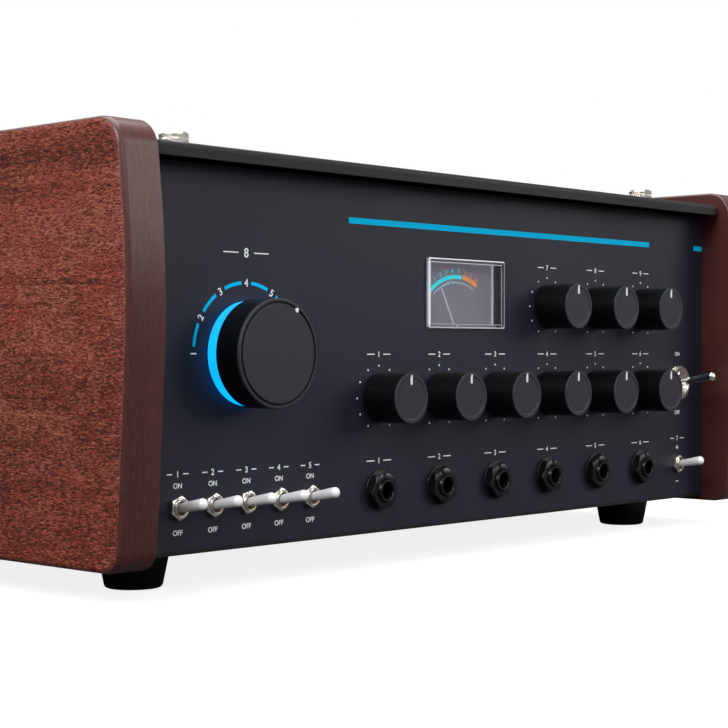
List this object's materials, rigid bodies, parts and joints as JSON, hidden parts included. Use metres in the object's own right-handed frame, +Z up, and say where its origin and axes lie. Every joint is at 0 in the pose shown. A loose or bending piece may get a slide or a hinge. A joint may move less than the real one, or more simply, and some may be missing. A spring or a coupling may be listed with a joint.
{
  "type": "tape echo unit",
  "caption": "Tape echo effects unit: metal case between rounded wooden cheeks, control panel with knobs, toggles, jacks and a meter, lift-off lid over a tape loop transport.",
  "frame": {"origin": "centre of the bounding box at floor level, under the feet", "axes": "+X to the right as seen from the front, the front panel faces -Y, +Z up"},
  "size_m": [0.412, 0.2717, 0.1685],
  "materials": {
    "wood": "stained mahogany veneer, satin",
    "panel_black": "satin powder coat",
    "lid_black": "fine textured powder coat",
    "steel": "plain sheet steel",
    "chrome": "bright nickel plate",
    "screw_steel": "zinc plated",
    "rubber_black": "moulded rubber",
    "knob_black": "satin black, turned face",
    "light_ring": "lit blue diffuser",
    "plastic_black": "moulded black",
    "window_clear": "clear plastic",
    "dial": "printed dial",
    "needle_white": "painted needle",
    "pcb": "green circuit board",
    "copper": "enamelled copper winding",
    "brass": "turned bronze",
    "tape_brown": "oxide coated tape",
    "aluminium": "machined",
    "cover_clear": "clear acrylic",
    "motor_grey": "painted can"
  },
  "bodies": {
    "body": {"left_cheek": "wood", "right_cheek": "wood", "base_tray": "panel_black", "front_panel": "panel_black", "rear_panel": "panel_black", "deck_plate": "steel", "feet": "rubber_black", "case_screws": "screw_steel", "pot_bodies": "steel", "pot_nuts": "chrome", "mode_light_ring": "light_ring", "mode_switch_body": "plastic_black", "toggle_bodies": "plastic_black", "toggle_nuts": "chrome", "power_switch_body": "steel", "power_switch_nut": "chrome", "jack_bodies": "plastic_black", "jack_nuts": "plastic_black", "meter_case": "plastic_black", "meter_window": "window_clear", "meter_dial_plate": "dial", "main_board": "pcb", "transformer": "copper", "mains_inlet": "plastic_black", "tape_tray": "motor_grey", "tape_cover": "cover_clear", "tape_loop": "tape_brown", "tape_guides": "chrome", "head_block": "aluminium", "tape_heads": "chrome", "capstan_bearing": "brass", "drive_belt": "rubber_black", "motor": "motor_grey", "pinch_spring": "screw_steel"},
    "lid": {"lid": "lid_black"},
    "lid_screw_left": {"lid_screw_left": "chrome"},
    "lid_screw_right": {"lid_screw_right": "chrome"},
    "knob_1": {"knob_1": "knob_black"},
    "knob_2": {"knob_2": "knob_black"},
    "knob_3": {"knob_3": "knob_black"},
    "knob_4": {"knob_4": "knob_black"},
    "knob_5": {"knob_5": "knob_black"},
    "knob_6": {"knob_6": "knob_black"},
    "tone_knob_1": {"tone_knob_1": "knob_black"},
    "tone_knob_2": {"tone_knob_2": "knob_black"},
    "tone_knob_3": {"tone_knob_3": "knob_black"},
    "mode_knob": {"mode_knob": "knob_black"},
    "toggle_lever_1": {"toggle_lever_1": "chrome"},
    "toggle_lever_2": {"toggle_lever_2": "chrome"},
    "toggle_lever_3": {"toggle_lever_3": "chrome"},
    "toggle_lever_4": {"toggle_lever_4": "chrome"},
    "toggle_lever_5": {"toggle_lever_5": "chrome"},
    "level_lever": {"level_lever": "chrome"},
    "power_lever": {"power_lever": "chrome"},
    "meter_needle": {"meter_needle": "needle_white"},
    "capstan_flywheel": {"capstan_flywheel": "steel"},
    "motor_pulley": {"motor_pulley": "aluminium"},
    "pinch_arm": {"pinch_arm": "steel"},
    "pinch_roller": {"pinch_roller": "rubber_black"}
  },
  "joints": [
    {"name": "lid_lift", "type": "slide", "parent": "body", "child": "lid", "axis": [0, 0, 1], "range_m": [0, 0.12]},
    {"name": "lid_screw_left_turn", "type": "hinge", "parent": "lid", "child": "lid_screw_left", "pos_m": [-0.1546, -0.09931, 0.1615], "axis": [0, 0, 1], "continuous": true},
    {"name": "lid_screw_right_turn", "type": "hinge", "parent": "lid", "child": "lid_screw_right", "pos_m": [0.1546, -0.09931, 0.1615], "axis": [0, 0, 1], "continuous": true},
    {"name": "knob_1_turn", "type": "hinge", "parent": "body", "child": "knob_1", "pos_m": [-0.05809, -0.11431, 0.069], "axis": [0, 1, 0], "range_deg": [-150, 150]},
    {"name": "knob_2_turn", "type": "hinge", "parent": "body", "child": "knob_2", "pos_m": [-0.02009, -0.11431, 0.069], "axis": [0, 1, 0], "range_deg": [-150, 150]},
    {"name": "knob_3_turn", "type": "hinge", "parent": "body", "child": "knob_3", "pos_m": [0.01791, -0.11431, 0.069], "axis": [0, 1, 0], "range_deg": [-150, 150]},
    {"name": "knob_4_turn", "type": "hinge", "parent": "body", "child": "knob_4", "pos_m": [0.05591, -0.11431, 0.069], "axis": [0, 1, 0], "range_deg": [-150, 150]},
    {"name": "knob_5_turn", "type": "hinge", "parent": "body", "child": "knob_5", "pos_m": [0.09391, -0.11431, 0.069], "axis": [0, 1, 0], "range_deg": [-150, 150]},
    {"name": "knob_6_turn", "type": "hinge", "parent": "body", "child": "knob_6", "pos_m": [0.13191, -0.11431, 0.069], "axis": [0, 1, 0], "range_deg": [-150, 150]},
    {"name": "tone_knob_1_turn", "type": "hinge", "parent": "body", "child": "tone_knob_1", "pos_m": [0.05591, -0.11431, 0.108], "axis": [0, 1, 0], "range_deg": [-150, 150]},
    {"name": "tone_knob_2_turn", "type": "hinge", "parent": "body", "child": "tone_knob_2", "pos_m": [0.09391, -0.11431, 0.108], "axis": [0, 1, 0], "range_deg": [-150, 150]},
    {"name": "tone_knob_3_turn", "type": "hinge", "parent": "body", "child": "tone_knob_3", "pos_m": [0.13191, -0.11431, 0.108], "axis": [0, 1, 0], "range_deg": [-150, 150]},
    {"name": "mode_knob_turn", "type": "hinge", "parent": "body", "child": "mode_knob", "pos_m": [-0.132, -0.11431, 0.0869], "axis": [0, 1, 0], "range_deg": [-120, 60]},
    {"name": "toggle_lever_1_flip", "type": "hinge", "parent": "body", "child": "toggle_lever_1", "pos_m": [-0.166, -0.11531, 0.0316], "axis": [1, 0, 0], "range_deg": [0, 20]},
    {"name": "toggle_lever_2_flip", "type": "hinge", "parent": "body", "child": "toggle_lever_2", "pos_m": [-0.149, -0.11531, 0.0316], "axis": [1, 0, 0], "range_deg": [0, 20]},
    {"name": "toggle_lever_3_flip", "type": "hinge", "parent": "body", "child": "toggle_lever_3", "pos_m": [-0.132, -0.11531, 0.0316], "axis": [1, 0, 0], "range_deg": [0, 20]},
    {"name": "toggle_lever_4_flip", "type": "hinge", "parent": "body", "child": "toggle_lever_4", "pos_m": [-0.115, -0.11531, 0.0316], "axis": [1, 0, 0], "range_deg": [0, 20]},
    {"name": "toggle_lever_5_flip", "type": "hinge", "parent": "body", "child": "toggle_lever_5", "pos_m": [-0.098, -0.11531, 0.0316], "axis": [1, 0, 0], "range_deg": [0, 20]},
    {"name": "level_lever_flip", "type": "hinge", "parent": "body", "child": "level_lever", "pos_m": [0.165, -0.11531, 0.0316], "axis": [1, 0, 0], "range_deg": [0, 20]},
    {"name": "power_lever_flip", "type": "hinge", "parent": "body", "child": "power_lever", "pos_m": [0.165, -0.11491, 0.072], "axis": [1, 0, 0], "range_deg": [0, 20]},
    {"name": "needle_swing", "type": "hinge", "parent": "body", "child": "meter_needle", "pos_m": [-0.00269, -0.10931, 0.0933], "axis": [0, 1, 0], "range_deg": [-12, 68], "stiffness_Nm_per_rad": 0.0002},
    {"name": "capstan_spin", "type": "hinge", "parent": "body", "child": "capstan_flywheel", "pos_m": [0.062, -0.04901, 0.134], "axis": [0, 0, 1], "continuous": true},
    {"name": "motor_spin", "type": "hinge", "parent": "body", "child": "motor_pulley", "pos_m": [-0.02, -0.04101, 0.114], "axis": [0, 0, 1], "continuous": true},
    {"name": "pinch_arm_swing", "type": "hinge", "parent": "body", "child": "pinch_arm", "pos_m": [0.096, -0.07431, 0.134], "axis": [0, 0, 1], "range_deg": [0, 12], "stiffness_Nm_per_rad": 0.05},
    {"name": "roller_spin", "type": "hinge", "parent": "pinch_arm", "child": "pinch_roller", "pos_m": [0.062, -0.05961, 0.142], "axis": [0, 0, 1], "continuous": true}
  ],
  "couplings": [
    {"joint": "motor_spin", "follows": "capstan_spin", "ratio": 5.4286},
    {"joint": "roller_spin", "follows": "capstan_spin", "ratio": -0.42857}
  ]
}
